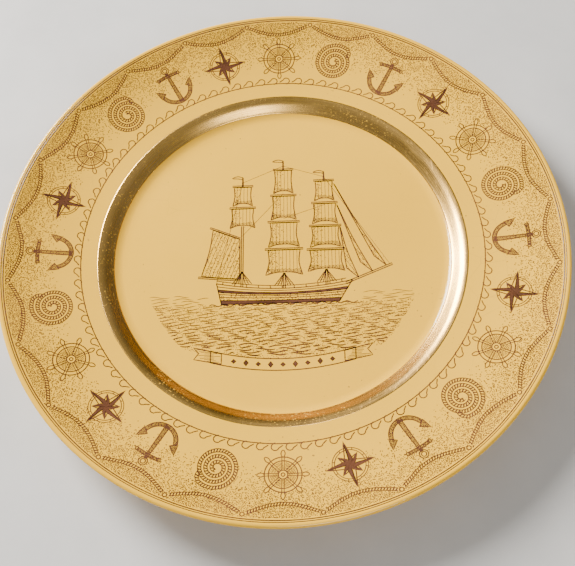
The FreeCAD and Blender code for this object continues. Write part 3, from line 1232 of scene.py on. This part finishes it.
class PLATE_OT_gold(bpy.types.Operator):
    """Lays the burnished gold band on the turn between the well and the rim"""
    bl_idname = "plate.gold"
    bl_label = "Gold band"

    def execute(self, context):
        piece = band("gold_ring", "gold_band", 0.03, 0.05, 0.055)
        settle(piece, gold_finish(), "gold", "gold_band")
        return {"FINISHED"}


class PLATE_OT_lines(bpy.types.Operator):
    """Draws the two thin lines under the lip"""
    bl_idname = "plate.lines"
    bl_label = "Border lines"

    def execute(self, context):
        for k, node in enumerate(("border_line", "lip_line")):
            piece = band(node + "_ink", node, 0.03, 0.04, 0.03, seed=11 + k)
            settle(piece, ink_finish(), "print", node)
        return {"FINISHED"}


class PLATE_OT_rim_print(bpy.types.Operator):
    """Prints the nautical border, one sector repeated round the rim"""
    bl_idname = "plate.rim_print"
    bl_label = "Rim print"

    def execute(self, context):
        repeats = style().repeats
        first = rim_sector("rim_print_1", ink_finish())
        pieces = [first]
        for k in range(1, repeats):
            data = first.data.copy()
            data.transform(Matrix.Rotation(-2 * math.pi * k / repeats, 4, "Z"))
            piece = bpy.data.objects.new(f"rim_print_{k + 1}", data)
            context.scene.collection.objects.link(piece)
            pieces.append(piece)
        for k, piece in enumerate(pieces, 1):
            settle(piece, ink_finish(), "print", f"rim_transfer_{k}")
        return {"FINISHED"}


class PLATE_OT_well_print(bpy.types.Operator):
    """Prints the ship, the sea and the ribbon in the well"""
    bl_idname = "plate.well_print"
    bl_label = "Well print"

    def execute(self, context):
        seed = style().seed
        painters = {"ship_print": draw_ship, "sea_print": draw_sea, "ribbon_print": draw_ribbon}
        for name, painter in painters.items():
            seed += 1
            settle(well_print(name, painter, ink_finish(), seed), ink_finish(), "print", "centre_transfer")
        return {"FINISHED"}


class PLATE_OT_stage(bpy.types.Operator):
    """Sets the pale floor, the soft lights and the camera"""
    bl_idname = "plate.stage"
    bl_label = "Stage"

    def execute(self, context):
        mesh = bmesh.new()
        bmesh.ops.create_grid(mesh, x_segments=1, y_segments=1, size=3.0)
        floor = piece_from("floor", mesh, smooth=False)
        floor.data.materials.append(floor_finish())
        set_camera()
        set_lights()
        return {"FINISHED"}


def set_camera():
    """Looks down at the plate from in front, turned a little to the left."""
    place = Vector((20.26, -208.29, 405.96)) * MM
    right = Vector((0.99868, -0.01148, -0.05005))
    up = Vector((0.03207, 0.90067, 0.43333))
    forward = right.cross(up) * -1
    camera = bpy.data.cameras.new("view")
    camera.sensor_width = 36
    camera.lens = 59.08
    camera.clip_start = 0.01
    viewer = bpy.data.objects.new("view", camera)
    viewer.matrix_world = Matrix.Translation(place) @ Matrix((right, up, -forward)).transposed().to_4x4()
    bpy.context.scene.collection.objects.link(viewer)
    bpy.context.scene.camera = viewer


def area_light(name, place, aim, size, power, colour):
    light = bpy.data.lights.new(name, "AREA")
    light.shape = "DISK"
    light.size = size
    light.energy = power
    light.color = colour
    lamp = bpy.data.objects.new(name, light)
    lamp.location = place
    lamp.rotation_euler = (Vector(aim) - Vector(place)).to_track_quat("-Z", "Y").to_euler()
    bpy.context.scene.collection.objects.link(lamp)


def set_lights():
    """Two large soft lamps and a dim surround that is lighter above."""
    middle = (0, 0, 0.01)
    white = (1.0, 0.97, 0.93)
    area_light("key", (-1.05, 0.95, 0.85), middle, 0.8, 100, white)
    area_light("fill", (0.3, -1.2, 1.0), middle, 0.9, 14, white)
    world = bpy.data.worlds.new("surround")
    world.use_nodes = True
    tree = world.node_tree
    back = tree.nodes["Background"]
    back.inputs["Color"].default_value = (1.0, 0.985, 0.96, 1)
    way = tree.nodes.new("ShaderNodeTexCoord")
    split = tree.nodes.new("ShaderNodeSeparateXYZ")
    rise = tree.nodes.new("ShaderNodeMapRange")
    rise.inputs["From Min"].default_value = 0.1
    rise.inputs["To Min"].default_value = 0.05
    rise.inputs["To Max"].default_value = 0.36
    tree.links.new(way.outputs["Generated"], split.inputs[0])
    tree.links.new(split.outputs["Z"], rise.inputs["Value"])
    tree.links.new(rise.outputs[0], back.inputs["Strength"])
    bpy.context.scene.world = world


class PLATE_PT_panel(bpy.types.Panel):
    """Lists the steps that make the plate"""
    bl_label = "Souvenir plate"
    bl_idname = "PLATE_PT_panel"
    bl_space_type = "VIEW_3D"
    bl_region_type = "UI"
    bl_category = "Plate"

    def draw(self, context):
        for step in STEPS:
            self.layout.operator(step.bl_idname)
        for group in (context.scene.plate_shape, context.scene.plate_print, context.scene.plate_finish):
            box = self.layout.box()
            for name in group.__annotations__:
                box.prop(group, name)


STEPS = (PLATE_OT_clay, PLATE_OT_glaze, PLATE_OT_gold, PLATE_OT_lines, PLATE_OT_rim_print,
         PLATE_OT_well_print, PLATE_OT_stage)
GROUPS = (("plate_shape", PlateShape), ("plate_print", PrintStyle), ("plate_finish", PlateFinish))


def register():
    for name, group in GROUPS:
        bpy.utils.register_class(group)
        setattr(bpy.types.Scene, name, PointerProperty(type=group))
    for made in STEPS + (PLATE_PT_panel,):
        bpy.utils.register_class(made)


def unregister():
    for made in reversed(STEPS + (PLATE_PT_panel,)):
        bpy.utils.unregister_class(made)
    for name, group in reversed(GROUPS):
        delattr(bpy.types.Scene, name)
        bpy.utils.unregister_class(group)


def main():
    register()
    bpy.ops.plate.clay()
    bpy.ops.plate.glaze()
    bpy.ops.plate.gold()
    bpy.ops.plate.lines()
    bpy.ops.plate.rim_print()
    bpy.ops.plate.well_print()
    bpy.ops.plate.stage()


if __name__ == "__main__":
    main()
